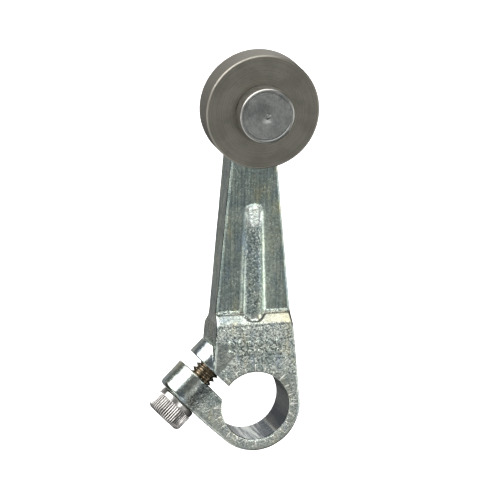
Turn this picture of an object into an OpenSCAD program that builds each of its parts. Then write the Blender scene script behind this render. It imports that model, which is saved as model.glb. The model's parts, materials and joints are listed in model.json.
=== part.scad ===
// Clamp-on roller lever for a limit switch: a cast arm that grips the switch's
// shaft with a split hub and one socket head screw, and carries a steel roller
// on a riveted pin. Millimetres. The origin is the centre of the shaft bore, +Z
// runs along the arm to the roller, and the roller is on the front, -Y, side.

/* [Arm] */
// Distance from the shaft bore's axis to the roller's axis
arm_length = 48; // [38:0.5:76]
// Width of the arm where it leaves the hub
arm_base_w = 12.2; // [9:0.1:13.4]
// Width that the arm's taper reaches at the roller's axis
arm_tip_w = 5.7; // [4:0.1:8]
// How far the arm's front face lies behind the hub's face, just above the hub
arm_base_setback = 1.6; // [1.2:0.1:2.8]
// How far the arm's front face lies behind the hub's face, at the roller's axis
arm_tip_setback = 0.5; // [0.2:0.1:1.5]
// How far the arm's back face lies in front of the hub's back face
arm_back_setback = 2.05; // [0.4:0.05:2.4]

/* [Hub] */
// Diameter of the shaft bore
bore_d = 10.7; // [8:0.1:13]
// Wall of the hub round the bore
hub_wall = 1.85; // [1.4:0.05:3]
// Depth of the hub from front to back
hub_depth = 8.3; // [6.8:0.1:12]
// Height of the solid block above the bore
block_h = 7.45; // [6.5:0.05:12]
// Length along the arm of the slope from the hub's face to the arm's face
ledge_run = 1.7; // [0.5:0.1:3]

/* [Clamp] */
// Angle of the slit from the arm's own line
slit_angle = 45; // [35:1:55]
// Width of the slit
slit_w = 2.15; // [1:0.05:3]
// How far the middle of the slit lies to the screw head's side of the bore's centre
slit_offset = 1.73; // [1:0.01:2.2]
// How far the screw's seat stands out past the hub's round
seat_step = 0.2; // [0:0.05:1.5]
// Metal left between the bore and the screw's holes
screw_wall = 0.85; // [0.8:0.05:2]
// How far the lugs' sides lie inside the hub's front and back faces
lug_setback = 0.1; // [0.05:0.05:0.6]
// Length of the round boss on the tapped side of the slit
tapped_boss_len = 2.9; // [1.5:0.1:4]

/* [Rib] */
// Width of the rib
rib_w = 2.9; // [1.2:0.1:4]
// How far the rib's face lies behind the hub's face
rib_setback = 0.55; // [0.4:0.05:1.1]
// Distance from the roller's axis down to where the rib ends
rib_end_gap = 16.4; // [12:0.1:22]
// Length of the slope at the rib's end
rib_runout = 3.1; // [1:0.1:6]

/* [Roller and pin] */
// Diameter of the roller
roller_d = 18; // [12:0.01:25.4]
// Width of the roller
roller_w = 4.76; // [3:0.01:12.7]
// Chamfer on the roller's edges
roller_chamfer = 0.25; // [0.1:0.05:0.6]
// Diameter of the pin where the roller turns on it
pin_d = 4.76; // [4.3:0.01:6.4]
// Radial clearance between roller and pin
roller_clearance = 0.04; // [0.01:0.01:0.1]
// Free space at each side of the roller
side_play = 0.09; // [0.05:0.01:0.3]
// Diameter of the pin's head
pin_head_d = 8.7; // [7:0.1:12]
// Length of the pin's head
pin_head_len = 2.8; // [1:0.1:4]
// Diameter of the pin's tail in the arm
pin_tail_d = 4; // [3:0.05:4.2]
// Diameter of the riveted end of the tail
rivet_d = 5.8; // [5:0.1:7]
// Depth of the countersink that the tail is riveted into
rivet_depth = 0.9; // [0.4:0.1:1.5]
// Height of the rivet's crown above the arm's back face
rivet_crown = 0.3; // [0.1:0.05:0.6]
// Diameter of the boss that the pin stands on
boss_d = 8.7; // [7.4:0.1:11]

/* [Clamp screw] */
// Outside diameter of the screw's thread
screw_d = 4; // [3:0.01:4.8]
// Pitch of the screw's thread
screw_pitch = 0.794; // [0.5:0.001:1]
// Length of the screw under its head
screw_len = 12.7; // [11:0.1:13.5]
// Diameter of the screw's head
screw_head_d = 6.2; // [5.2:0.01:7.4]
// Height of the screw's head
screw_head_h = 3.8; // [2.8:0.05:4.5]
// Size across the flats of the hexagon socket
socket_af = 3; // [2:0.01:3.4]
// Depth of the hexagon socket
socket_depth = 1.8; // [1:0.1:2.2]
// Radial clearance between the screw and the tapped hole
tapped_clearance = 0.05; // [0.01:0.01:0.1]
// Radial clearance between the screw and the plain hole under its head
plain_clearance = 0.15; // [0.1:0.01:0.4]
// Gap left under the screw's head
head_gap = 0.05; // [0.02:0.01:0.3]

/* [Hidden] */
$fn = 96;
eps = 0.01;

bore_r = bore_d / 2;
hub_r = bore_r + hub_wall;
hub_top = bore_r + block_h;
hub_front = -hub_depth / 2;
hub_back = hub_depth / 2;
boss_r = boss_d / 2;

// The arm's faces: its front leans forward towards the roller, its back is upright.
ledge_top = hub_top + ledge_run;
back_ledge_bottom = hub_top - 0.7;
arm_back = hub_back - arm_back_setback;
face_base = hub_front + arm_base_setback;
face_tip = hub_front + arm_tip_setback;
function arm_face(z) =
    face_base + (face_tip - face_base) * (z - ledge_top) / (arm_length - ledge_top);

// The screw lies square to the slit. In the clamp's own frame local X runs along
// the screw from its head to its tip, and local Z runs out along the slit.
lug_r = hub_depth / 2 - lug_setback;
screw_hole_r = screw_d / 2 + plain_clearance;
tapped_r = screw_d / 2 + tapped_clearance;
screw_line = bore_r + screw_wall + screw_hole_r;
slit_low = -slit_offset - slit_w / 2;
slit_high = slit_low + slit_w;
seat = -(hub_r + seat_step);
tapped_boss_end = slit_high + tapped_boss_len;
screw_tip = seat - head_gap + screw_len;
tapped_end = screw_tip + 1.2;
head_chamfer = 0.3;

// Where a straight side from the point p runs into the hub's round; turn is 1 or -1
// for the two ways round. The side dips just inside the round, so the two cross.
function hub_meeting(p, turn) =
    let (r = hub_r - 0.05, a = atan2(p[1], p[0]) + turn * acos(r / norm(p)))
    [r * cos(a), r * sin(a)];

// The roller's place along its axis, from the boss's face forward.
roller_back = hub_front - side_play;
roller_front = roller_back - roller_w;
pin_head_back = roller_front - side_play;
pin_head_front = pin_head_back - pin_head_len;

// A flat outline in X and Z, with its thickness from y_front to y_back.
module plate(y_front, y_back)
    translate([0, y_back, 0]) rotate([90, 0, 0])
        linear_extrude(y_back - y_front) children();

// A side outline in Y and Z, drawn right across the part.
module across(width)
    translate([-width / 2, 0, 0]) rotate([90, 0, 90])
        linear_extrude(width) children();

// A shape turned about local Z, laid along Y at the height z: local Z points forward.
module forward(z)
    translate([0, 0, z]) rotate([90, 0, 0]) children();

module clamp_frame() rotate([0, -slit_angle, 0]) children();

// A rod along the screw's line from x0 to x1 in the clamp's frame.
module screw_rod(r, x0, x1)
    clamp_frame() translate([x0, 0, screw_line]) rotate([0, 90, 0])
        cylinder(r = r, h = x1 - x0);

module front_outline() {
    shoulder = [arm_base_w / 2, hub_top];
    hip = hub_meeting(shoulder, -1);
    circle(r = hub_r);
    polygon([
        [-hip[0], hip[1]], [hip[0], hip[1]], shoulder,
        [arm_tip_w / 2, arm_length], [-arm_tip_w / 2, arm_length],
        [-shoulder[0], shoulder[1]]
    ]);
}

module side_outline()
    polygon([
        [hub_front, -hub_r - 1], [hub_front, hub_top], [face_base, ledge_top],
        [face_tip, arm_length], [arm_back, arm_length],
        [arm_back, back_ledge_bottom + ledge_run], [hub_back, back_ledge_bottom],
        [hub_back, -hub_r - 1]
    ]);

module arm_and_hub()
    intersection() {
        plate(hub_front - 1, hub_back + 1) front_outline();
        across(4 * hub_r) side_outline();
    }

module rib() {
    rib_face = hub_front + rib_setback;
    rib_end = arm_length - rib_end_gap;
    across(rib_w)
        polygon([
            [arm_back - 1, hub_top - 1], [rib_face, hub_top - 1],
            [rib_face, rib_end - rib_runout], [arm_face(rib_end), rib_end],
            [arm_back - 1, rib_end]
        ]);
}

module roller_boss()
    forward(arm_length) translate([0, 0, -arm_back])
        cylinder(r = boss_r, h = arm_back - hub_front);

// The lug under the screw's head, with a flat seat that runs on into the hub's round.
// Seen along the screw, its end is a half round.
module seat_lug() {
    seat_edge = [seat, screw_line - lug_r];
    clamp_frame() intersection() {
        plate(hub_front - 1, hub_back + 1)
            polygon([
                [slit_low, 0], [slit_low, screw_line + lug_r + 1],
                [seat, screw_line + lug_r + 1], seat_edge, hub_meeting(seat_edge, 1)
            ]);
        across(4 * hub_r) {
            translate([0, screw_line]) circle(r = lug_r);
            translate([-lug_r, -hub_r]) square([2 * lug_r, hub_r + screw_line]);
        }
    }
}

// The round boss on the far side of the slit, which sinks into the block.
module tapped_lug() screw_rod(lug_r, slit_high, tapped_boss_end);

// The pin's hole, countersunk at the back for the riveted end.
module pin_hole()
    forward(arm_length) {
        translate([0, 0, -arm_back - 1])
            cylinder(d = pin_tail_d, h = arm_back - hub_front + 2);
        translate([0, 0, -arm_back])
            cylinder(d1 = rivet_d, d2 = pin_tail_d, h = rivet_depth);
    }

module lever_arm()
    color([0.62, 0.64, 0.60])
        difference() {
            union() {
                arm_and_hub();
                rib();
                roller_boss();
                seat_lug();
                tapped_lug();
            }
            plate(hub_front - 1, hub_back + 1) circle(r = bore_r);
            clamp_frame() plate(hub_front - 1, hub_back + 1)
                translate([slit_low, 0]) square([slit_w, screw_line + lug_r + 1]);
            screw_rod(screw_hole_r, seat - 1, slit_low + eps);
            screw_rod(tapped_r, slit_high - eps, tapped_end);
            pin_hole();
        }

module roller()
    color([0.37, 0.36, 0.33])
        forward(arm_length) translate([0, 0, -roller_back])
            rotate_extrude() {
                inner = pin_d / 2 + roller_clearance;
                outer = roller_d / 2;
                polygon([
                    [inner, 0], [outer - roller_chamfer, 0], [outer, roller_chamfer],
                    [outer, roller_w - roller_chamfer],
                    [outer - roller_chamfer, roller_w], [inner, roller_w]
                ]);
            }

// Tail, shoulder, running surface and head in one turned piece, from back to front.
module roller_pin() {
    tail_r = pin_tail_d / 2;
    rivet_r = rivet_d / 2;
    head_r = pin_head_d / 2;
    head_edge = 0.3;
    color([0.47, 0.47, 0.45])
        forward(arm_length) rotate_extrude()
            polygon([
                [0, -arm_back - rivet_crown], [rivet_r - 0.9, -arm_back - rivet_crown],
                [rivet_r, -arm_back], [tail_r, -arm_back + rivet_depth],
                [tail_r, -hub_front], [pin_d / 2, -hub_front],
                [pin_d / 2, -pin_head_back], [head_r, -pin_head_back],
                [head_r, -pin_head_front - head_edge],
                [head_r - head_edge, -pin_head_front], [0, -pin_head_front]
            ]);
}

// The screw's outline from under the head to the tip: the thread is drawn as rings.
function thread_outline() =
    let (
        crest = screw_d / 2, root = crest - 0.61 * screw_pitch,
        rings = floor(screw_len / screw_pitch) - 1,
        start = screw_len - (rings + 0.5) * screw_pitch
    )
    [
        [crest, 0], [crest, start],
        for (i = [0 : rings - 1]) each [
            [root, start + (i + 0.44) * screw_pitch],
            [root, start + (i + 0.56) * screw_pitch],
            [crest, start + (i + 0.94) * screw_pitch],
            [crest, start + (i + 1.06) * screw_pitch]
        ],
        [root, screw_len]
    ];

module clamp_screw() {
    head_r = screw_head_d / 2;
    color([0.70, 0.69, 0.68])
        clamp_frame() translate([seat - head_gap, 0, screw_line]) rotate([0, 90, 0])
            difference() {
                rotate_extrude()
                    polygon(concat(
                        [
                            [0, -screw_head_h], [head_r - head_chamfer, -screw_head_h],
                            [head_r, head_chamfer - screw_head_h], [head_r, 0]
                        ],
                        thread_outline(), [[0, screw_len]]
                    ));
                translate([0, 0, -screw_head_h - 1])
                    cylinder(d = socket_af / cos(30), h = socket_depth + 1, $fn = 6);
            }
}

lever_arm();
roller();
roller_pin();
clamp_screw();
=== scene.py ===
"""Looks for a clamp-on roller lever: a plated casting, a steel roller, its riveted pin and a
knurled cap screw. Lengths are in millimetres until a mesh is made, which is in metres."""
import json
import math

import bpy
import numpy as np
from mathutils import Matrix, Vector


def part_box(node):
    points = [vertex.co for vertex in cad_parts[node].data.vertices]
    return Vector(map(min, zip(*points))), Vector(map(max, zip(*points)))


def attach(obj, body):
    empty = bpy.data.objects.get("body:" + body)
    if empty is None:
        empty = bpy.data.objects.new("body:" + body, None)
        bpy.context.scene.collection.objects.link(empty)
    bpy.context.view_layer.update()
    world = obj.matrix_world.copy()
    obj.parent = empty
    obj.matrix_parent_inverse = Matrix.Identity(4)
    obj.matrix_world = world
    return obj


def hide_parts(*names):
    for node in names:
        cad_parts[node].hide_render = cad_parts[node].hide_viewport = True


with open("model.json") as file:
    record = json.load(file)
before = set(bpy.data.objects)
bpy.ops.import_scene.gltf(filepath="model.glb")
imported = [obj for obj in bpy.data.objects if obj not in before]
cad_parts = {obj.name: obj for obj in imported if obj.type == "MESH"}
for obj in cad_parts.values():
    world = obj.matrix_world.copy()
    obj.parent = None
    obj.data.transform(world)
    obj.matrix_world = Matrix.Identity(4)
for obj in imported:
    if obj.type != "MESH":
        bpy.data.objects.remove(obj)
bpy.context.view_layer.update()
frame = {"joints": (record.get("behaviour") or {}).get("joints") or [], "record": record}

MM = 0.001


# ---- Sizes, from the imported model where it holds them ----

def node_box(node):
    """A node's lowest and highest corners, in millimetres."""
    low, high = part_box(node)
    return np.array(low) / MM, np.array(high) / MM


joints = {joint["name"]: joint for joint in frame["joints"]}
mounts = {mount["name"]: mount for mount in frame["record"]["mounts"]}

arm_low, arm_high = node_box("lever_arm")
roller_low, roller_high = node_box("roller")
pin_low, pin_high = node_box("roller_pin")

bore_r = mounts["shaft_clamp"]["dims"]["r_mm"]
half_depth = arm_high[1]
hub_front = arm_low[1]
hub_r = -arm_low[2]
roller_z = joints["roller_spin"]["pos_m"][2] / MM
boss_r = arm_high[2] - roller_z
screw_line = math.hypot(*joints["screw_turn"]["pos_m"]) / MM

HUB_TOP = bore_r + 7.45
LEDGE_RUN = 1.7
BACK_LEDGE = HUB_TOP - 0.7
ARM_BASE_HALF = 6.1
ARM_TIP_HALF = 2.85
FACE_BASE = hub_front + 1.6
FACE_TIP = hub_front + 0.5
ARM_BACK = half_depth - 2.05
RIB_FACE = hub_front + 0.55
RIB_HALF = 0.84
RIB_DRAFT = 1.0
RIB_END = roller_z - 16.4
RIB_RUNOUT = 3.1
SLIT_HALF = 1.075
SLIT_MIDDLE = -1.73
SEAT = -(hub_r + 0.2)
TAPPED_BOSS_END = SLIT_MIDDLE + SLIT_HALF + 2.9
LUG_R = half_depth - 0.06
PIN_TAIL_R = 2.0
RIVET_R = 2.9
RIVET_DEPTH = 0.9
SCREW_R = 2.0
SCREW_PITCH = 0.794
SCREW_LEN = 12.7
HEAD_R = 3.1
HEAD_H = 3.8
HEAD_GAP = 0.05
KNURL_TEETH = 48
COLLAR = 0.95
SOCKET_AF = 3.0
SOCKET_DEPTH = 1.8


# ---- The camera ----

CAMERA_AZIMUTH = math.radians(-14)
CAMERA_ELEVATION = math.radians(14)
CAMERA_DISTANCE = 3.0
AIM = Vector((0.00016, 0, 0.0239))
VIEW_WIDTH = 500 / 6.45 * MM


def make_camera():
    camera = bpy.data.cameras.new("camera")
    camera.lens = camera.sensor_width * CAMERA_DISTANCE / VIEW_WIDTH
    camera.clip_start = 0.01
    camera.clip_end = 20
    holder = bpy.data.objects.new("camera", camera)
    away = Vector((
        math.sin(CAMERA_AZIMUTH) * math.cos(CAMERA_ELEVATION),
        -math.cos(CAMERA_AZIMUTH) * math.cos(CAMERA_ELEVATION),
        math.sin(CAMERA_ELEVATION),
    ))
    holder.location = AIM + away * CAMERA_DISTANCE
    holder.rotation_mode = "QUATERNION"
    holder.rotation_quaternion = (-away).to_track_quat("-Z", "Y")
    bpy.context.scene.collection.objects.link(holder)
    bpy.context.scene.camera = holder


# ---- Meshes ----

def add_piece(name, points, faces, body, node, material, sharp_angle=None):
    """Makes a smooth-shaded object from points in millimetres, riding on a body."""
    mesh = bpy.data.meshes.new(name)
    mesh.from_pydata((np.asarray(points) * MM).tolist(), [], faces)
    mesh.validate()
    mesh.polygons.foreach_set("use_smooth", [True] * len(mesh.polygons))
    if sharp_angle is not None:
        mesh.set_sharp_from_angle(angle=math.radians(sharp_angle))
    piece = bpy.data.objects.new(name, mesh)
    bpy.context.scene.collection.objects.link(piece)
    mesh.materials.append(material)
    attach(piece, body)
    if node:
        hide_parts(node)
    return piece


def turned(rings, segments, closed=False):
    """Points and faces of a body turned about Z. Each ring is a height and a radius, or a
    radius for each segment. The ends are capped, unless closed joins the last to the first."""
    angles = np.arange(segments) * 2 * math.pi / segments
    points = []
    for height, radius in rings:
        radii = np.broadcast_to(radius, segments)
        heights = np.broadcast_to(height, segments)
        points.append(np.stack([radii * np.cos(angles), radii * np.sin(angles), heights], 1))
    points = np.concatenate(points)
    faces = []
    count = len(rings)
    for ring in range(count if closed else count - 1):
        here = ring * segments
        above = (ring + 1) % count * segments
        for i in range(segments):
            j = (i + 1) % segments
            faces.append((here + i, here + j, above + j, above + i))
    if not closed:
        for ring, order in ((0, -1), (count - 1, 1)):
            centre = len(points)
            height = np.mean(points[ring * segments:(ring + 1) * segments, 2])
            points = np.append(points, [[0, 0, height]], 0)
            for i in range(segments):
                j = (i + 1) % segments
                pair = (ring * segments + i, ring * segments + j)
                faces.append((*pair[::order], centre))
    return points, faces


def laid(points, origin, axis):
    """Points turned so that local Z lies along axis, with local zero at origin."""
    turn = np.array(Vector(axis).to_track_quat("Z", "Y").to_matrix())
    return points @ turn.T + np.asarray(origin)


def arc(centre_height, centre_radius, radius, start, end, steps):
    """Ring heights and radii round a corner, from one angle to another, in degrees."""
    rings = []
    for i in range(steps + 1):
        angle = math.radians(start + (end - start) * i / steps)
        rings.append((centre_height + radius * math.sin(angle),
                      centre_radius + radius * math.cos(angle)))
    return rings


# ---- The casting, as a distance field ----

def fillet_or(a, b, r):
    """Two solids joined, with a fillet of radius r between them."""
    inner = np.hypot(np.maximum(r - a, 0), np.maximum(r - b, 0))
    return np.maximum(r, np.minimum(a, b)) - inner


def round_and(a, b, r):
    """What two solids share, with the edge between them rounded to radius r."""
    outer = np.hypot(np.maximum(r + a, 0), np.maximum(r + b, 0))
    return np.minimum(-r, np.maximum(a, b)) + outer


def plane(u, v, p, q):
    """Signed distance in two axes from the line through p and q, positive on its right."""
    du, dv = q[0] - p[0], q[1] - p[1]
    return ((u - p[0]) * dv - (v - p[1]) * du) / math.hypot(du, dv)


def arm_face(z):
    """How far forward the arm's front face lies at height z."""
    ledge_top = HUB_TOP + LEDGE_RUN
    return FACE_BASE + (FACE_TIP - FACE_BASE) * (z - ledge_top) / (roller_z - ledge_top)


def front_outline(x, z):
    """The hub's round, its straight sides, the tapering arm and the round end."""
    side = abs(x)
    reach = math.hypot(ARM_BASE_HALF, HUB_TOP)
    lean = math.atan2(HUB_TOP, ARM_BASE_HALF) - math.acos(hub_r / reach)
    flat = side * math.cos(lean) + z * math.sin(lean) - hub_r
    along = z * math.cos(lean) - side * math.sin(lean)
    hub = np.where(along > 0, flat, np.hypot(x, z) - hub_r)
    hub = np.maximum(hub, z - HUB_TOP - LEDGE_RUN)
    arm = plane(side, z, (ARM_BASE_HALF, HUB_TOP), (ARM_TIP_HALF, roller_z))
    arm = np.maximum(np.maximum(arm, z - roller_z), HUB_TOP - 4 - z)
    end = np.hypot(x, z - roller_z) - boss_r
    return np.minimum(hub, fillet_or(arm, end, 3.0))


def side_outline(y, z):
    """The deep hub, the slopes above it, and the slab of the arm."""
    hub = abs(y) - half_depth
    front_ledge = plane(y, z, (FACE_BASE, HUB_TOP + LEDGE_RUN), (hub_front, HUB_TOP))
    back_ledge = plane(y, z, (half_depth, BACK_LEDGE), (ARM_BACK, BACK_LEDGE + LEDGE_RUN))
    hub = round_and(hub, front_ledge, 0.3)
    hub = round_and(hub, back_ledge, 0.4)
    ledge_top = HUB_TOP + LEDGE_RUN
    front = plane(y, z, (FACE_TIP, roller_z), (FACE_BASE, ledge_top))
    arm = np.maximum(front, y - ARM_BACK)
    return fillet_or(hub, arm, 0.35)


def rib(x, y, z):
    """The drafted rib, with a round end that runs out in a slope."""
    end_middle = RIB_END - RIB_HALF - 0.2
    across = np.hypot(x, np.maximum(z - end_middle, 0))
    side = (across - RIB_HALF - (y - RIB_FACE) * RIB_DRAFT) / math.hypot(1, RIB_DRAFT)
    crest = round_and(side, RIB_FACE - y, 0.3)
    runout = plane(y, z, (arm_face(RIB_END) - 0.12, RIB_END), (RIB_FACE, RIB_END - RIB_RUNOUT))
    raised = round_and(crest, runout, 0.25)
    return np.maximum(np.maximum(raised, HUB_TOP - 2 - z), y - FACE_BASE - 0.8)


def seat_lug(n, t, y):
    """The lug under the screw's head. n runs along the screw, t out along the slit."""
    edge = (SEAT, screw_line - LUG_R)
    turn = math.atan2(edge[1], edge[0]) + math.acos(hub_r / math.hypot(*edge))
    meeting = (hub_r * math.cos(turn), hub_r * math.sin(turn))
    outer = np.maximum(SEAT - n, plane(n, t, edge, meeting))
    end = np.hypot(y, np.maximum(t - screw_line, 0)) - LUG_R
    lug = round_and(outer, end, 0.6)
    return np.maximum(np.maximum(lug, n - SLIT_MIDDLE), meeting[1] - t)


def tapped_lug(n, t, y):
    """The round boss beyond the slit."""
    round_side = np.hypot(y, t - screw_line) - LUG_R + 0.08
    boss = round_and(round_side, n - TAPPED_BOSS_END, 0.3)
    return np.maximum(boss, SLIT_MIDDLE - n)


def waviness(x, y, z):
    """Slow unevenness of the cast skin, from a few crossing waves."""
    rng = np.random.default_rng(7)
    total = 0
    for i in range(14):
        direction = rng.normal(size=3)
        direction /= np.linalg.norm(direction)
        length = rng.uniform(2.5, 9)
        phase = rng.uniform(0, 2 * math.pi)
        along = direction[0] * x + direction[1] * y + direction[2] * z
        total = total + np.sin(along * 2 * math.pi / length + phase)
    return total * 0.0035


def pips(x, y, z):
    """Two rows of plain raised dots on the hub's face."""
    d = np.inf
    for row_z in (10.05, 8.65):
        for i in range(6):
            across = np.hypot(x + 0.05 - (i - 2.5) * 1.5, z - row_z)
            dot = round_and(across - 0.54, hub_front - 0.46 - y, 0.2)
            d = np.minimum(d, np.maximum(dot, y - hub_front - 1))
    return d


def casting(x, y, z):
    """Signed distance to the whole casting, negative inside."""
    c = math.sqrt(0.5)
    n, t = (x + z) * c, (z - x) * c
    d = round_and(front_outline(x, z), side_outline(y, z), 0.42)
    d = fillet_or(d, rib(x, y, z), 0.3)
    pad = round_and(np.hypot(x, z - roller_z) - boss_r + 0.1, hub_front - y, 0.2)
    d = fillet_or(d, np.maximum(pad, y), 0.25)
    d = np.minimum(d, seat_lug(n, t, y))
    d = fillet_or(d, tapped_lug(n, t, y), 0.18)
    d = fillet_or(d, pips(x, y, z), 0.12)
    d = d + waviness(x, y, z)
    slit = np.maximum(abs(n - SLIT_MIDDLE) - SLIT_HALF, -t)
    d = round_and(d, -slit, 0.13)
    d = round_and(d, bore_r - np.hypot(x, z), 0.14)
    q = np.hypot(y, t - screw_line)
    plain_hole = np.maximum(q - SCREW_R - 0.15, n - SLIT_MIDDLE)
    tip = SEAT - HEAD_GAP + SCREW_LEN + 1.2
    tapped_hole = np.maximum(np.maximum(q - SCREW_R - 0.05, SLIT_MIDDLE - n), n - tip)
    d = round_and(d, -np.minimum(plain_hole, tapped_hole), 0.1)
    w = np.hypot(x, z - roller_z)
    cone = (w - RIVET_R - (y - ARM_BACK) * (RIVET_R - PIN_TAIL_R) / RIVET_DEPTH) * c
    pin_hole = np.minimum(w - PIN_TAIL_R, np.maximum(cone, ARM_BACK - RIVET_DEPTH - y))
    return np.maximum(d, -pin_hole)


def surface_net(field, origin, step):
    """Points and quads where a sampled field changes sign: one point in each mixed cell,
    at the mean of the places where its edges cross zero."""
    shape = [n - 1 for n in field.shape]
    inside = field < 0
    offsets = np.zeros((*shape, 3), np.float32)
    count = np.zeros(shape, np.float32)
    crossings = []
    for axis in range(3):
        b, c = (axis + 1) % 3, (axis + 2) % 3
        low = [slice(None)] * 3
        high = [slice(None)] * 3
        low[axis] = slice(0, -1)
        high[axis] = slice(1, None)
        low, high = tuple(low), tuple(high)
        crossed = inside[low] != inside[high]
        share = np.where(crossed, field[low] / (field[low] - field[high] + 1e-12), 0)
        crossings.append((crossed, inside[low]))
        for db in (0, 1):
            for dc in (0, 1):
                part = [slice(None)] * 3
                part[b] = slice(db, db + shape[b])
                part[c] = slice(dc, dc + shape[c])
                part = tuple(part)
                offsets[..., axis] += share[part]
                offsets[..., b] += db * crossed[part]
                offsets[..., c] += dc * crossed[part]
                count += crossed[part]
    cells = np.argwhere(count > 0)
    order = np.full(shape, -1)
    order[tuple(cells.T)] = np.arange(len(cells))
    points = cells + offsets[tuple(cells.T)] / count[tuple(cells.T)][:, None]
    quads = []
    for axis, (crossed, starts_inside) in enumerate(crossings):
        b, c = (axis + 1) % 3, (axis + 2) % 3
        at = np.argwhere(crossed)
        at = at[(at[:, b] > 0) & (at[:, c] > 0)
                & (at[:, b] < shape[b]) & (at[:, c] < shape[c])]
        corners = []
        for db, dc in ((-1, -1), (0, -1), (0, 0), (-1, 0)):
            cell = at.copy()
            cell[:, b] += db
            cell[:, c] += dc
            corners.append(order[tuple(cell.T)])
        quad = np.stack(corners, 1)
        outward = starts_inside[tuple(at.T)]
        quads.append(np.where(outward[:, None], quad, quad[:, ::-1]))
    return points * step + origin, np.concatenate(quads)


def slope(field, points, reach=0.02):
    """The field's gradient at each point."""
    parts = []
    for axis in range(3):
        shift = np.zeros(3)
        shift[axis] = reach
        parts.append((field(*(points + shift).T) - field(*(points - shift).T)) / (2 * reach))
    return np.stack(parts, 1)


def meshed(field, low, high, step):
    """Meshes a distance field and draws its points onto the true surface."""
    axes = [np.arange(low[i], high[i] + step, step) for i in range(3)]
    x, y, z = np.meshgrid(*axes, indexing="ij", sparse=True)
    sampled = np.broadcast_to(field(x, y, z), [len(a) for a in axes]).astype(np.float32)
    points, quads = surface_net(sampled, np.array(low), step)
    for i in range(3):
        gradient = slope(field, points)
        steepness = np.maximum((gradient ** 2).sum(1), 0.25)
        move = field(*points.T)[:, None] * gradient / steepness[:, None]
        points = points - np.clip(move, -0.3 * step, 0.3 * step)
    return points, quads


def make_lever(material):
    step = 0.165
    low = arm_low - (1, 0.9, 1)
    high = arm_high + 1
    points, quads = meshed(casting, low, high, step)
    lever = add_piece("cast_lever", points, quads.tolist(), "arm", "lever_arm",
                      material)
    return lever


def make_graduation(material):
    """Fine raised lines round the bore every 15 degrees, longer at every third."""
    points, faces = [], []
    for i in range(24):
        angle = math.radians(15 * i)
        c = math.sqrt(0.5)
        along_screw = (math.cos(angle) + math.sin(angle)) * c * (bore_r + 0.5)
        past_slit = (math.sin(angle) - math.cos(angle)) > 0
        if past_slit and abs(along_screw - SLIT_MIDDLE) < SLIT_HALF + 0.3:
            continue
        length = 1.15 if i % 3 == 0 else 0.65
        out = np.array([math.cos(angle), 0, math.sin(angle)])
        sideways = np.array([-math.sin(angle), 0, math.cos(angle)])
        start = len(points)
        for reach in (bore_r + 0.16, bore_r + 0.16 + length):
            for shift, rise in ((-0.14, -0.02), (-0.07, 0.12), (0.07, 0.12), (0.14, -0.02)):
                points.append(out * reach + sideways * shift
                              + np.array([0, hub_front - rise, 0]))
        for k in range(4):
            m = (k + 1) % 4
            faces.append((start + k, start + m, start + 4 + m, start + 4 + k))
        faces.append((start + 3, start + 2, start + 1, start))
        faces.append((start + 4, start + 5, start + 6, start + 7))
    return add_piece("graduation", points, faces, "arm", None, material)


# ---- The turned pieces ----

def make_roller(material):
    outer, width = (roller_high[0] - roller_low[0]) / 2, roller_high[1] - roller_low[1]
    inner, edge = 2.42, 0.18
    rings = [(0, inner + 0.15), (0, outer - edge), (edge, outer)]
    rings += [(width - edge, outer), (width, outer - edge)]
    rings += [(width, inner + 0.15), (width - 0.15, inner), (0.15, inner)]
    points, faces = turned(rings, 256, closed=True)
    points = laid(points, (0, roller_high[1], roller_z), (0, -1, 0))
    return add_piece("steel_roller", points, faces, "roller_wheel", "roller",
                     material, 25)


def make_pin(material):
    """From the riveted tail at the back to the head: heights run forward from y = 0."""
    head_r = (pin_high[0] - pin_low[0]) / 2
    front, tail_end = -pin_low[1], -pin_high[1]
    head_back = -roller_low[1] + 0.09
    shank = 2.38
    edge = 0.34
    rings = [(tail_end + 0.12, 0.4), (tail_end, 0.75), (tail_end, 1.7)]
    rings += arc(-ARM_BACK + 0.02, RIVET_R - 0.32, 0.32, -80, 0, 6)
    rings += [(-ARM_BACK + RIVET_DEPTH, PIN_TAIL_R), (-hub_front, PIN_TAIL_R)]
    rings += [(-hub_front, shank), (head_back, shank)]
    rings += arc(head_back + 0.15, head_r - 0.15, 0.15, -90, 0, 3)
    rings += arc(front - edge, head_r - edge, edge, 0, 84, 8)
    face = front - 0.06
    rings += [(face + 0.04, head_r - 0.44), (face - 0.05, head_r - 0.54),
              (face - 0.05, head_r - 0.60), (face + 0.03, head_r - 0.72),
              (face + 0.025, 2.2), (face, 1.3), (face - 0.02, 0.95), (face - 0.09, 0.72),
              (face - 0.10, 0.55), (face - 0.02, 0.42), (face + 0.05, 0.28),
              (face + 0.055, 0.18), (face - 0.03, 0.08)]
    points, faces = turned(rings, 192)
    points = laid(points, (0, 0, roller_z), (0, -1, 0))
    return add_piece("riveted_pin", points, faces, "arm", "roller_pin",
                     material, 28)


def thread_rings(segments):
    """The screw's thread as rings whose radius follows the helix."""
    angles = np.arange(segments) * 2 * math.pi / segments
    depth = 0.61 * SCREW_PITCH
    steps = 14
    heights = np.arange(0.5, SCREW_LEN, SCREW_PITCH / steps)
    rings = []
    for height in heights:
        phase = (height / SCREW_PITCH - angles / (2 * math.pi)) % 1
        tooth = np.clip(abs(phase - 0.5) * 2 * 1.25 - 0.12, 0, 1)
        fade = np.clip(min((height - 0.5) / 0.5, (SCREW_LEN - height) / 0.6), 0, 1)
        taper = depth * (1 - np.clip((SCREW_LEN - height) / 0.6, 0, 1))
        rings.append((height, SCREW_R - depth * tooth * fade - taper))
    return rings


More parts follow.
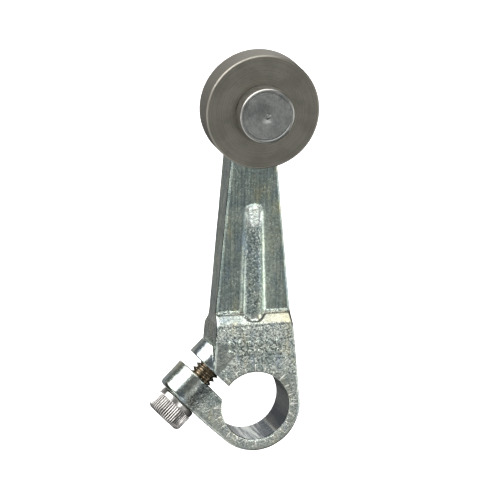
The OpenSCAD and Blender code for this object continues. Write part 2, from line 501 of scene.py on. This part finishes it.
def make_screw(material):
    """Socket, knurled head, smooth collar and thread; heights run from the seat to the tip."""
    segments = 480
    angles = np.arange(segments) * 2 * math.pi / segments
    knurl = 0.5 + 0.5 * np.cos(angles * KNURL_TEETH)
    knurl_depth = 0.17
    sixth = math.pi / 3
    hexagon = SOCKET_AF / 2 / np.cos((angles + sixth / 2) % sixth - sixth / 2)
    end = -HEAD_H
    rings = [(end + SOCKET_DEPTH + 0.5, 0.1), (end + SOCKET_DEPTH, hexagon * 0.98),
             (end + 0.2, hexagon), (end + 0.02, hexagon + 0.13), (end, hexagon * 0.3 + 1.25)]
    for height, radius in arc(end + 0.75, HEAD_R - 0.75, 0.75, -90, -10, 9):
        depth = knurl_depth * np.clip((height - end - 0.12) / 0.4, 0, 1)
        rings.append((height, radius - depth * knurl))
    cut = HEAD_R - knurl_depth * knurl
    rings += [(end + 0.75, cut), (-COLLAR - 0.12, cut),
              (-COLLAR - 0.02, HEAD_R - 0.14), (-COLLAR + 0.04, HEAD_R - 0.14),
              (-COLLAR + 0.1, HEAD_R - 0.06)]
    rings += arc(-0.3, HEAD_R - 0.38, 0.3, 0, 90, 5)
    rings += [(0, SCREW_R + 0.25), (0.15, SCREW_R), (0.45, SCREW_R)]
    rings += thread_rings(segments)
    rings += [(SCREW_LEN, 0.9)]
    points, faces = turned(rings, segments)
    c = math.sqrt(0.5)
    origin = np.array([(SEAT - HEAD_GAP - screw_line) * c, 0, (SEAT - HEAD_GAP + screw_line) * c])
    points = laid(points, origin, (c, 0, c))
    return add_piece("cap_screw", points, faces, "screw", "clamp_screw",
                     material, 50)


# ---- Materials ----

class Shader:
    """A node material with one Principled shader, and short calls for its nodes."""

    def __init__(self, name, metallic, roughness):
        self.material = bpy.data.materials.new(name)
        self.material.use_nodes = True
        self.tree = self.material.node_tree
        self.surface = self.tree.nodes["Principled BSDF"]
        self.surface.inputs["Metallic"].default_value = metallic
        self.surface.inputs["Roughness"].default_value = roughness
        self.position = self.node("ShaderNodeTexCoord").outputs["Object"]

    def node(self, kind, **values):
        made = self.tree.nodes.new(kind)
        for key, value in values.items():
            setattr(made, key, value)
        return made

    def feed(self, socket, value):
        if isinstance(value, bpy.types.NodeSocket):
            self.tree.links.new(value, socket)
        else:
            socket.default_value = value

    def scaled(self, scale, rotation=(0, 0, 0), offset=(0, 0, 0)):
        """Positions in units of 1/scale metres along each axis."""
        mapping = self.node("ShaderNodeMapping")
        self.feed(mapping.inputs["Vector"], self.position)
        mapping.inputs["Location"].default_value = offset
        mapping.inputs["Rotation"].default_value = rotation
        mapping.inputs["Scale"].default_value = scale
        return mapping.outputs["Vector"]

    def noise(self, scale, detail=3, roughness=0.5, distortion=0.0, offset=(0, 0, 0)):
        """Noise from 0 to 1, with features of about 1/scale metres."""
        if not isinstance(scale, tuple):
            scale = (scale,) * 3
        made = self.node("ShaderNodeTexNoise")
        self.feed(made.inputs["Vector"], self.scaled(scale, offset=offset))
        made.inputs["Scale"].default_value = 1
        made.inputs["Detail"].default_value = detail
        made.inputs["Roughness"].default_value = roughness
        made.inputs["Distortion"].default_value = distortion
        return made.outputs["Fac"]

    def math(self, operation, a, b=0.0, c=0.0):
        made = self.node("ShaderNodeMath", operation=operation)
        for socket, value in zip(made.inputs, (a, b, c)):
            self.feed(socket, value)
        return made.outputs[0]

    def span(self, value, low, high, to_low=0.0, to_high=1.0):
        """A value taken from one range to another, smoothly, and held at its ends."""
        made = self.node("ShaderNodeMapRange", interpolation_type="SMOOTHSTEP")
        for socket, number in zip(made.inputs, (value, low, high, to_low, to_high)):
            self.feed(socket, number)
        return made.outputs[0]

    def mix(self, factor, a, b, blend="MIX"):
        made = self.node("ShaderNodeMix", data_type="RGBA", blend_type=blend)
        self.feed(made.inputs[0], factor)
        for socket, value in zip((made.inputs[6], made.inputs[7]), (a, b)):
            self.feed(socket, (*value, 1) if isinstance(value, tuple) else value)
        return made.outputs[2]

    def bump(self, height, distance, strength=1.0, under=None):
        """A bump of the given height in metres, laid over another if one is given."""
        made = self.node("ShaderNodeBump")
        made.inputs["Strength"].default_value = strength
        made.inputs["Distance"].default_value = distance
        self.feed(made.inputs["Height"], height)
        if under is not None:
            self.feed(made.inputs["Normal"], under)
        return made.outputs["Normal"]

    def axes(self):
        split = self.node("ShaderNodeSeparateXYZ")
        self.feed(split.inputs[0], self.position)
        return split.outputs

    def finish(self, color, roughness, normal):
        self.feed(self.surface.inputs["Base Color"], color)
        self.feed(self.surface.inputs["Roughness"], roughness)
        self.feed(self.surface.inputs["Normal"], normal)
        return self.material


def casting_tints(s):
    """The film's colour: grey-green, with blue-grey and straw where it is thicker."""
    patches = s.noise(460, detail=5, roughness=0.65, distortion=0.5)
    film = s.noise((480, 480, 200), detail=4, roughness=0.6, offset=(3, 1, 7))
    color = s.mix(s.span(patches, 0.36, 0.64), (0.43, 0.50, 0.475), (0.67, 0.72, 0.65))
    color = s.mix(s.span(film, 0.52, 0.70, 0.0, 0.8), color, (0.66, 0.65, 0.47))
    return s.mix(s.span(film, 0.47, 0.34, 0.0, 0.8), color, (0.44, 0.52, 0.57))


def arm_bands(s, color, x, z):
    """Drawn streaks down the arm, with a paler band just right of the rib."""
    streaks = s.noise((3200, 1500, 60), detail=4, roughness=0.7, offset=(1, 5, 2))
    dark = s.mix(1.0, color, (0.50, 0.56, 0.59), "MULTIPLY")
    light = s.mix(1.0, color, (0.91, 0.97, 0.93), "MULTIPLY")
    streaked = s.mix(s.span(streaks, 0.32, 0.66), dark, light)
    right = s.span(x, 0.9 * MM, 1.6 * MM)
    near_rib = s.math("MULTIPLY", right, s.span(x, 4.2 * MM, 2.2 * MM))
    low = s.span(z, (RIB_END + 3) * MM, (RIB_END - 3) * MM)
    pale = s.math("MULTIPLY", s.math("MULTIPLY", near_rib, low), 0.45)
    return s.mix(pale, streaked, (0.80, 0.92, 0.78)), streaks


def bore_facets_and_painted_shade(s, x, z):
    """Bright and dark facets along the bore, as a reamer leaves, partly painted reflection; painted
    shade darkens the right side, and a painted dark line runs near the bottom.
    """
    facets = s.noise((620, 40, 620), detail=4, roughness=0.7, offset=(2, 8, 5))
    # Facets: partly reamer marks, partly painted reflection.
    color = s.mix(s.span(facets, 0.44, 0.54), (0.10, 0.13, 0.15), (0.66, 0.71, 0.68))
    color = s.mix(s.span(facets, 0.56, 0.62), color, (1.0, 0.98, 0.82))
    angle = s.math("ARCTAN2", z, x)
    from_below = s.span(angle, math.radians(-56), math.radians(-48))
    to_above = s.span(angle, math.radians(32), math.radians(20))
    # Painted shade: the bore's right side is darkened.
    right = s.math("MULTIPLY", from_below, to_above)
    color = s.mix(s.math("MULTIPLY", right, 0.88), color, (0.035, 0.05, 0.065))
    # Painted shade: a dark line near the bottom of the bore.
    line = s.span(s.math("ABSOLUTE", s.math("ADD", angle, math.radians(70))), 0.09, 0.05)
    return s.mix(s.math("MULTIPLY", line, 0.7), color, (0.05, 0.06, 0.08))


def plated_casting():
    """Zinc plate with a thin passivated film over a grainy casting, smoother on the arm."""
    s = Shader("plated_casting", 1.0, 0.3)
    x, _, z = s.axes()[:3]
    on_arm = s.span(z, (HUB_TOP + 1.4) * MM, (HUB_TOP + 2.4) * MM)
    on_rib = s.span(s.math("ABSOLUTE", x), 1.5 * MM, 1.1 * MM)
    below_end = s.span(z, (RIB_END - 2) * MM, (RIB_END - 3) * MM)
    rib_top = s.math("MULTIPLY", on_rib, below_end)
    smooth = s.math("MULTIPLY", on_arm, s.math("SUBTRACT", 1.0, rib_top))
    grain = s.noise(2700, detail=3, roughness=0.65)
    speck = s.noise(3200, detail=3, roughness=0.7, offset=(9, 2, 4))
    color = casting_tints(s)
    streaked, streaks = arm_bands(s, color, x, z)
    color = s.mix(on_arm, color, streaked)
    out = s.math("MULTIPLY", s.math("SUBTRACT", z, x), math.sqrt(0.5))
    on_lugs = s.math("MULTIPLY", s.span(out, 7.3 * MM, 8.2 * MM), s.span(x, -2.5 * MM, -3.5 * MM))
    on_lugs = s.math("MULTIPLY", on_lugs, s.span(z, 10.5 * MM, 9.5 * MM))
    on_ledge = s.math("MULTIPLY", s.span(z, (HUB_TOP + 2.0) * MM, (HUB_TOP + 1.4) * MM),
                      s.span(z, (HUB_TOP + 0.1) * MM, (HUB_TOP + 0.5) * MM))
    calm = s.math("MAXIMUM", s.math("MULTIPLY", smooth, 0.65), s.math("MULTIPLY", on_lugs, 0.85))
    calm = s.math("MAXIMUM", calm, s.math("MULTIPLY", on_ledge, 0.6))
    coarse = s.span(z, 3 * MM, 8 * MM, 0.45, 1.0)
    amount = s.math("MULTIPLY", s.math("SUBTRACT", 1.0, calm), coarse)
    # Painted shade: the rib's crest is darkened.
    crest = s.math("MULTIPLY", on_arm, rib_top)
    color = s.mix(s.math("MULTIPLY", crest, 0.5), color, (0.20, 0.25, 0.25))
    # Painted shade: dark specks where pits would be.
    pit_painted_shade = s.math("MULTIPLY", s.span(speck, 0.49, 0.40), amount)
    # Painted highlights: bright glint specks.
    painted_glints = s.math("MULTIPLY", s.span(speck, 0.56, 0.64), amount)
    color = s.mix(s.math("MULTIPLY", pit_painted_shade, 0.75), color, (0.05, 0.07, 0.07))
    color = s.mix(s.math("MULTIPLY", painted_glints, 0.5), color, (0.98, 0.98, 0.90))
    along = s.math("MULTIPLY", s.math("ADD", x, z), math.sqrt(0.5))
    shade = s.math("MULTIPLY", s.span(out, 6.2 * MM, 7.4 * MM), s.span(out, 9.6 * MM, 8.6 * MM))
    shade = s.math("MULTIPLY", shade, s.span(along, -2.6 * MM, -2.9 * MM))
    shade = s.math("MULTIPLY", shade, s.span(speck, 0.62, 0.40, 0.25, 0.9))
    color = s.mix(shade, color, (0.06, 0.07, 0.07))
    warm = s.math("MULTIPLY", on_ledge, s.span(x, 0.5 * MM, 2.5 * MM))
    color = s.mix(s.math("MULTIPLY", warm, 0.6), color, (0.50, 0.46, 0.31))
    # Painted highlight: the slope at the rib's end is lightened.
    slope_top = s.math("MULTIPLY", s.span(z, (RIB_END - 3.3) * MM, (RIB_END - 2.7) * MM),
                       s.span(z, (RIB_END + 0.5) * MM, RIB_END * MM))
    end_slope_painted_highlight = s.math("MULTIPLY", slope_top, on_rib)
    color = s.mix(s.math("MULTIPLY", end_slope_painted_highlight, 0.3), color, (0.96, 0.98, 0.95))
    # Painted light: the casting is lightened towards the bottom.
    low = s.span(z, 2 * MM, -4 * MM, 0.0, 0.2)
    color = s.mix(low, color, (0.92, 0.96, 0.86))
    square = s.math("ADD", s.math("MULTIPLY", x, x), s.math("MULTIPLY", z, z))
    in_bore = s.span(s.math("SQRT", square), (bore_r + 0.12) * MM, (bore_r + 0.02) * MM)
    color = s.mix(in_bore, color, bore_facets_and_painted_shade(s, x, z))
    roughness = s.span(grain, 0.3, 0.7, 0.13, 0.27)
    relief = s.math("MULTIPLY", grain, amount)
    rough_skin = s.bump(relief, 0.00016, 0.75, s.bump(s.noise(900, detail=3), 0.00008, 0.5))
    skin = s.bump(s.math("MULTIPLY", streaks, smooth), 0.00004, 0.6, rough_skin)
    return s.finish(color, roughness, skin)


def ridges_painted_highlight():
    """The graduation's fine lines, painted near white as a highlight so that they stay brighter
    than the skin round them.
    """
    s = Shader("ridges_painted_highlight", 1.0, 0.3)
    cloud = s.noise(900, detail=3)
    # Painted highlight: the lines are coloured near white.
    color = s.mix(s.span(cloud, 0.35, 0.65), (0.90, 0.92, 0.80), (1.0, 1.0, 0.96))
    roughness = s.span(cloud, 0.3, 0.7, 0.45, 0.55)
    return s.finish(color, roughness, s.bump(s.noise(2500), 0.00003, 0.4))


def turning_marks(s, count):
    """A wave by distance from the roller's axis, as a lathe tool leaves."""
    x, _, z = s.axes()[:3]
    rise = s.math("SUBTRACT", z, roller_z * MM)
    radius = s.math("SQRT", s.math("ADD", s.math("MULTIPLY", x, x), s.math("MULTIPLY", rise, rise)))
    made = s.node("ShaderNodeTexNoise", noise_dimensions="1D")
    s.feed(made.inputs["W"], s.math("MULTIPLY", radius, count))
    made.inputs["Scale"].default_value = 1
    made.inputs["Detail"].default_value = 4
    return made.outputs["Fac"], radius


def roller_steel():
    """Dark satin steel with fine turning marks and a warm stain."""
    s = Shader("roller_steel", 1.0, 0.4)
    marks, radius = turning_marks(s, 5200)
    cloud = s.noise(260, detail=4, roughness=0.6)
    grain = s.noise(4200, detail=2)
    color = s.mix(s.span(cloud, 0.35, 0.65), (0.200, 0.194, 0.166), (0.250, 0.243, 0.211))
    marked = s.mix(1.0, color, (0.84, 0.84, 0.82), "MULTIPLY")
    color = s.mix(s.span(marks, 0.3, 0.7), color, marked)
    # Lighter rim: partly wear from rolling, partly painted sheen.
    worn_rim_and_sheen = s.span(radius, (roller_high[0] - 0.35) * MM, (roller_high[0] - 0.15) * MM)
    color = s.mix(worn_rim_and_sheen, color, (0.36, 0.345, 0.30))
    roughness = s.span(grain, 0.3, 0.7, 0.40, 0.52)
    normal = s.bump(grain, 0.00003, 0.35, s.bump(marks, 0.00002, 0.4))
    return s.finish(color, roughness, normal)


def pin_steel():
    """Plain turned steel, lighter than the roller, with a few handling marks, and painted light on
    the head's rim and side.
    """
    s = Shader("pin_steel", 1.0, 0.35)
    marks, radius = turning_marks(s, 4200)
    cloud = s.noise(420, detail=4, roughness=0.6, distortion=0.6)
    dents = s.noise(1500, detail=2, offset=(4, 4, 4))
    color = s.mix(s.span(cloud, 0.35, 0.65), (0.27, 0.28, 0.275), (0.37, 0.375, 0.365))
    scratches = s.noise((5200, 900, 2600), detail=4, roughness=0.75, distortion=0.4)
    scratched = s.mix(1.0, color, (0.74, 0.77, 0.76), "MULTIPLY")
    color = s.mix(s.span(scratches, 0.38, 0.60), scratched, color)
    # Painted reflection: the head's rim and side are lightened.
    rim = s.span(radius, (pin_high[0] - 0.3) * MM, (pin_high[0] - 0.1) * MM)
    color = s.mix(rim, color, (0.62, 0.61, 0.57))
    roughness = s.span(cloud, 0.3, 0.7, 0.30, 0.42)
    normal = s.bump(dents, 0.00005, 0.4, s.bump(marks, 0.00002, 0.35))
    return s.finish(color, roughness, normal)


def screw_steel():
    """Bright stainless, a little warm, darker and browner along the thread."""
    s = Shader("screw_steel", 1.0, 0.22)
    x, y, z = s.axes()[:3]
    along = s.math("MULTIPLY", s.math("ADD", x, z), math.sqrt(0.5))
    out = s.math("MULTIPLY", s.math("SUBTRACT", z, x), math.sqrt(0.5))
    turn = s.math("ARCTAN2", y, s.math("SUBTRACT", out, screw_line * MM))
    valley_painted_shade = s.span(s.math("COSINE", s.math("MULTIPLY", turn, KNURL_TEETH)), 0.0, 0.8)
    knurled = s.span(along, (SEAT - COLLAR) * MM, (SEAT - COLLAR - 0.2) * MM)
    in_thread = s.span(along, SEAT * MM, (SEAT + 0.3) * MM)
    cloud = s.noise(700, detail=3)
    color = s.mix(s.span(cloud, 0.35, 0.65), (0.64, 0.62, 0.60), (0.74, 0.72, 0.70))
    # Painted shade: the knurl's valleys are darkened.
    color = s.mix(s.math("MULTIPLY", valley_painted_shade, knurled), color, (0.13, 0.12, 0.115))
    # Darker and browner along the thread.
    color = s.mix(s.math("MULTIPLY", in_thread, 0.9), color, (0.34, 0.28, 0.20))
    roughness = s.span(cloud, 0.3, 0.7, 0.17, 0.27)
    normal = s.bump(s.noise(3000, detail=2), 0.00002, 0.3)
    return s.finish(color, roughness, normal)


# ---- The stage ----

def unit(azimuth, elevation):
    """The direction at an azimuth from the front, to the right positive, and an elevation."""
    a, e = math.radians(azimuth), math.radians(elevation)
    return (math.sin(a) * math.cos(e), -math.cos(a) * math.cos(e), math.sin(e))


def make_world():
    """A dim studio with soft boxes, each a patch of sky that fades at its rim."""
    world = bpy.data.worlds.new("studio")
    bpy.context.scene.world = world
    world.use_nodes = True
    tree = world.node_tree
    background = tree.nodes["Background"]
    direction = tree.nodes.new("ShaderNodeTexCoord").outputs["Generated"]
    split = tree.nodes.new("ShaderNodeSeparateXYZ")
    tree.links.new(direction, split.inputs[0])
    ground = tree.nodes.new("ShaderNodeMapRange")
    ground.interpolation_type = "SMOOTHSTEP"
    tree.links.new(split.outputs[1], ground.inputs[0])
    for socket, value in zip(ground.inputs[1:5], (-0.5, 0.6, 0.16, 0.03)):
        socket.default_value = value
    total = ground.outputs[0]
    boxes = (
        # azimuth, elevation, inner and outer half angle, brightness
        (14, -14, 18, 42, 0.36),
        (14, -15, 4, 15, -0.30),
        (0, 88, 20, 40, 2.2),
        (-80, 44, 21, 31, 3.4),
        (-149, 27, 12, 26, 0.14),
        (66, -10, 11, 23, 1.9),
        (104, -14, 9, 20, 1.0),
        (14, 8, 6, 14, 3.2),
        (-30, -14, 9, 18, 1.1),
        (-78, -14, 9, 20, 1.6),
        (-70, -62, 14, 38, 0.8),
        (166, 16, 10, 25, 0.8),
        (-160, 0, 12, 34, 0.28),
    )
    for azimuth, elevation, inner, outer, brightness in boxes:
        dot = tree.nodes.new("ShaderNodeVectorMath")
        dot.operation = "DOT_PRODUCT"
        tree.links.new(direction, dot.inputs[0])
        dot.inputs[1].default_value = unit(azimuth, elevation)
        patch = tree.nodes.new("ShaderNodeMapRange")
        patch.interpolation_type = "SMOOTHSTEP"
        tree.links.new(dot.outputs["Value"], patch.inputs[0])
        limits = (math.cos(math.radians(outer)), math.cos(math.radians(inner)), 0, brightness)
        for socket, value in zip(patch.inputs[1:5], limits):
            socket.default_value = value
        add = tree.nodes.new("ShaderNodeMath")
        add.operation = "ADD"
        tree.links.new(total, add.inputs[0])
        tree.links.new(patch.outputs[0], add.inputs[1])
        total = add.outputs[0]
    tree.links.new(total, background.inputs["Strength"])
    background.inputs["Color"].default_value = (1, 0.995, 0.985, 1)


def make_floor():
    """A plain pale floor below the lever, which mirrors show as the dim studio instead."""
    half, drop = 6.0, -0.075
    mesh = bpy.data.meshes.new("floor")
    corners = [(-half, -half, drop), (half, -half, drop), (half, half, drop), (-half, half, drop)]
    mesh.from_pydata(corners, [], [(0, 1, 2, 3)])
    floor = bpy.data.objects.new("floor", mesh)
    bpy.context.scene.collection.objects.link(floor)
    material = bpy.data.materials.new("floor")
    material.use_nodes = True
    shader = material.node_tree.nodes["Principled BSDF"]
    shader.inputs["Base Color"].default_value = (0.9, 0.9, 0.9, 1)
    shader.inputs["Roughness"].default_value = 0.9
    shader.inputs["Emission Color"].default_value = (1, 1, 1, 1)
    shader.inputs["Emission Strength"].default_value = 0.75
    mesh.materials.append(material)
    floor.visible_glossy = False
    floor.visible_diffuse = False


make_camera()
make_world()
make_floor()
bpy.context.scene.view_settings.view_transform = "Standard"

make_lever(plated_casting())
make_graduation(ridges_painted_highlight())
make_roller(roller_steel())
make_pin(pin_steel())
make_screw(screw_steel())
